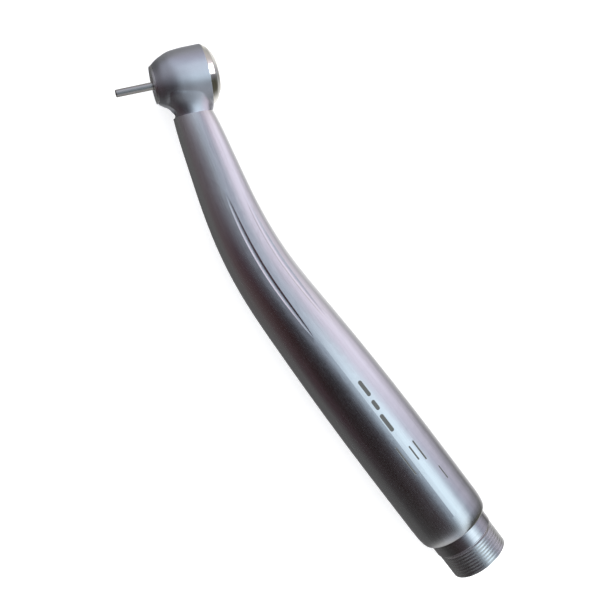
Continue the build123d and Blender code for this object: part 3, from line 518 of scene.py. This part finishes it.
# lean of the reflection toward +X, then a card for each turn: (r, g, b) or one grey, linear
REFLECTED = (
    (-0.60, (0.12, 0.12, 0.13, (0.14, 0.13, 0.14), (0.21, 0.20, 0.22), (0.36, 0.36, 0.41),
             (0.45, 0.47, 0.53), (0.55, 0.59, 0.67), (0.64, 0.71, 0.82), (0.63, 0.69, 0.82),
             (0.57, 0.57, 0.68), (0.54, 0.52, 0.62), (0.48, 0.47, 0.53), 0.42, 0.36, 0.28, 0.30)),
    (-0.15, (0.14, 0.11, 0.12, (0.09, 0.06, 0.065), (0.05, 0.025, 0.035), (0.12, 0.12, 0.145),
             (0.24, 0.26, 0.30), (0.36, 0.40, 0.47), (0.43, 0.48, 0.57), (0.46, 0.48, 0.57),
             (0.45, 0.43, 0.51), (0.45, 0.42, 0.46), (0.64, 0.60, 0.62), (0.56, 0.53, 0.54),
             0.50, 0.90, 1.15)),
    (0.03, (0.30, 0.12, (0.12, 0.11, 0.11), (0.09, 0.065, 0.065), (0.045, 0.02, 0.02),
            (0.05, 0.05, 0.06), (0.24, 0.27, 0.33), (0.26, 0.28, 0.36), (0.27, 0.28, 0.36),
            (0.38, 0.37, 0.46), (0.57, 0.51, 0.62), (0.93, 0.85, 1.01), (1.06, 0.99, 1.12),
            (0.62, 0.57, 0.61), 0.54, 1.00, 1.25)),
    (0.20, (0.30, 0.11, 0.11, (0.045, 0.02, 0.03), 0.003, 0.003, (0.03, 0.03, 0.035),
            (0.46, 0.57, 0.67), (0.98, 1.18, 1.32), (0.98, 1.16, 1.30), (0.78, 0.82, 0.95),
            (0.88, 0.85, 1.00), (1.00, 0.96, 1.15), (0.67, 0.63, 0.73), (0.40, 0.39, 0.44),
            0.56, 1.04)),
    (0.36, (0.30, 0.11, 0.09, 0.03, (0.02, 0.01, 0.01), (0.05, 0.035, 0.04), (0.09, 0.09, 0.11),
            (0.23, 0.27, 0.34), (0.78, 0.96, 1.10), (1.08, 1.34, 1.48), (0.74, 0.92, 1.05),
            (0.43, 0.46, 0.58), (0.50, 0.49, 0.59), (0.29, 0.29, 0.33), 0.11, 0.54, 1.08)),
    (0.50, (0.30, 0.15, 0.10, 0.05, 0.03, (0.04, 0.035, 0.04), 0.06, (0.28, 0.34, 0.39),
            (0.88, 1.06, 1.18), (0.95, 1.10, 1.20), (0.45, 0.50, 0.58), (0.19, 0.20, 0.24),
            (0.18, 0.18, 0.21), (0.14, 0.14, 0.14), 0.10, 0.45, 1.10)),
    (0.68, (0.40, 0.35, 0.42, 0.46, (0.44, 0.45, 0.48), (0.36, 0.38, 0.42), (0.34, 0.38, 0.43),
            (0.45, 0.50, 0.55), (0.70, 0.80, 0.86), (0.40, 0.44, 0.46), 0.06, (0.05, 0.05, 0.04),
            (0.07, 0.07, 0.055), (0.09, 0.085, 0.07), (0.11, 0.11, 0.09), 0.35, 1.00)),
)
GAIN = 1.7    # ramps stop at 1, so the cards are stored divided by this

world = bpy.data.worlds.new("studio")
scene.world = world
world.use_nodes = True
world.cycles.sampling_method = "NONE"
sky = Graph(world.node_tree)


def sky_math(operation, a, b):
    return sky.add("Math", {0: a, 1: b}, operation=operation).outputs[0]


def card_ring(turn, cards):
    """Colour ramp round the X axis, closed with its first card."""
    node = sky.add("ValToRGB", {0: turn})
    elements = node.color_ramp.elements
    elements.remove(elements[-1])
    for index, (angle, card) in enumerate(zip((*TURN, 180), (*cards, cards[0]))):
        position = (angle + 180) / 360
        element = elements[0] if index == 0 else elements.new(position)
        element.position = position
        rgb = card if isinstance(card, tuple) else (card, card, card)
        element.color = (*[min(1.0, c / GAIN) for c in rgb], 1)
    return node.outputs[0]


def reflected_cards():
    """Blends the rings of cards by the lean of the direction."""
    direction = sky.add("TexCoord").outputs["Generated"]
    x, y, z = sky.add("SeparateXYZ", {0: direction}).outputs
    angle = sky_math("ARCTAN2", y, z)
    turn = sky_math("ADD", sky_math("MULTIPLY", angle, 1 / (2 * math.pi)), 0.5)
    last_lean, cards = REFLECTED[0]
    color = card_ring(turn, cards)
    for lean, cards in REFLECTED[1:]:
        ring = card_ring(turn, cards)
        step = sky.add("MapRange", {0: x, 1: last_lean, 2: lean}).outputs[0]
        color = sky.add("Mix", {0: step, 6: color, 7: ring}, data_type="RGBA").outputs[2]
        last_lean = lean
    return color


def background(color, strength):
    return sky.add("Background", {0: color, 1: strength}).outputs[0]


def choose(ray, otherwise, shader):
    return sky.add("MixShader", {0: ray, 1: otherwise, 2: shader}).outputs[0]


# cards for reflections, white for the camera, an even soft light for the rest
sky_out = sky.add("OutputWorld")
glossy = background(reflected_cards(), strength=GAIN)
soft = background((0.97, 0.98, 1.0, 1), strength=1.2)
white = background((1.0, 1.0, 1.0, 1), strength=1.0)
rays = sky.add("LightPath").outputs
lit = choose(rays["Is Glossy Ray"], soft, glossy)
sky.put(sky_out.inputs[0], choose(rays["Is Camera Ray"], lit, white))


# ------------------------------------------------------------------------------------------------
# lights
# ------------------------------------------------------------------------------------------------
def area_light(name, location, rotation, **settings):
    light = bpy.data.lights.new(name, "AREA")
    for key, value in settings.items():
        setattr(light, key, value)
    lamp = bpy.data.objects.new(name, light)
    scene.collection.objects.link(lamp)
    lamp.location = location
    lamp.rotation_mode = "QUATERNION"
    lamp.rotation_quaternion = rotation
    return lamp


key_place = Vector((0.10, 0.28, 0.45))
key_target = Vector((-0.06, 0, 0))
key = area_light("key", key_place, (key_target - key_place).to_track_quat("-Z", "Y"),
                 shape="DISK", size=0.5, energy=0.6)
key.visible_glossy = False

CARD_TARGET = HEAD_ORIGIN + HEAD_Z * 0.006
CARD_DISTANCE = 0.30
# name, direction from the target, width along +X, height, power, colour, parts it lights
CARDS = (
    ("head_card", (-0.25, 0.40, 0.88), 0.24, 0.14, 0.064, (0.82, 0.94, 1.0), ["head_housing"]),
    ("head_card_low", (0.15, 0.10, 0.98), 0.22, 0.13, 0.060, (0.80, 0.94, 1.0), ["head_housing"]),
    ("neck_card", (0.50, 0.74, 0.30), 0.18, 0.28, 0.068, (0.97, 0.88, 1.0), ["head_housing"]),
    ("wing_card", (0.76, 0.60, 0.25), 0.20, 0.26, 0.100, (0.98, 0.88, 1.0), ["head_housing"]),
    ("ring_card", (0.25, 0.92, 0.32), 0.12, 0.34, 0.25, (1, 1, 1), ["cap_ring", "push_button"]),
)
for name, direction, width, height, power, color, parts in CARDS:
    out = Vector(direction).normalized()
    side = (Vector((1, 0, 0)) - out * out.x).normalized()
    rotation = Matrix((side, out.cross(side), out)).transposed().to_quaternion()
    card = area_light(name, CARD_TARGET + out * CARD_DISTANCE, rotation, shape="RECTANGLE",
                      size=width, size_y=height, energy=power, color=color)
    card.visible_camera = False
    group = bpy.data.collections.new(name + "_parts")
    for part in parts:
        group.objects.link(frame["nodes"][part])
    card.light_linking.receiver_collection = group

# ------------------------------------------------------------------------------------------------
# camera
# ------------------------------------------------------------------------------------------------
CAMERA_PLACE = Vector((-0.10226383, -0.02462065, 0.20878863))
# directions of the view's right and down, squared up below
VIEW_RIGHT = Vector((0.59825, 0.77749, 0.19390))
VIEW_DOWN = Vector((0.78714, -0.61551, 0.03942))

lens = bpy.data.cameras.new("camera")
lens.lens = 60.0
lens.sensor_width = 36.0
lens.clip_start = 0.01
lens.clip_end = 20.0
camera = bpy.data.objects.new("camera", lens)
scene.collection.objects.link(camera)
back = -VIEW_RIGHT.cross(VIEW_DOWN).normalized()
up = back.cross(VIEW_RIGHT).normalized()
right = up.cross(back).normalized()
pose = Matrix((right, up, back)).transposed().to_4x4()
pose.translation = CAMERA_PLACE
camera.matrix_world = pose
scene.camera = camera
